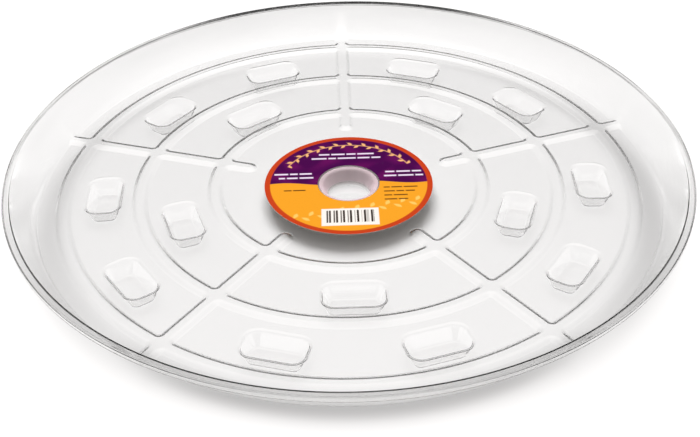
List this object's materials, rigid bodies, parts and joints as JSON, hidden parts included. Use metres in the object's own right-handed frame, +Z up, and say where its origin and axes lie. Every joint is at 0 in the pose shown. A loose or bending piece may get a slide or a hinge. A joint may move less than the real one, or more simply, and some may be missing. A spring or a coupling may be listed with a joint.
{
  "type": "plant saucer",
  "caption": "Round clear plastic plant saucer with a low flared wall, a ribbed floor, hollow feet pressed below it and a printed ring label at its centre.",
  "frame": {"origin": "on the ground under the saucer's axis, in the plane of the feet", "axes": "+Z up along the saucer's axis; a straight rib runs along +Y"},
  "size_m": [0.4318, 0.4318, 0.0355],
  "materials": {
    "clear_sheet": "clear gloss, thermoformed",
    "printed_label": "printed, satin"
  },
  "bodies": {
    "saucer": {"saucer": "clear_sheet"},
    "label": {"label": "printed_label"}
  },
  "joints": [
    {"name": "label_lift", "type": "slide", "parent": "saucer", "child": "label", "axis": [0, 0, 1], "range_m": [0, 0.05]}
  ]
}
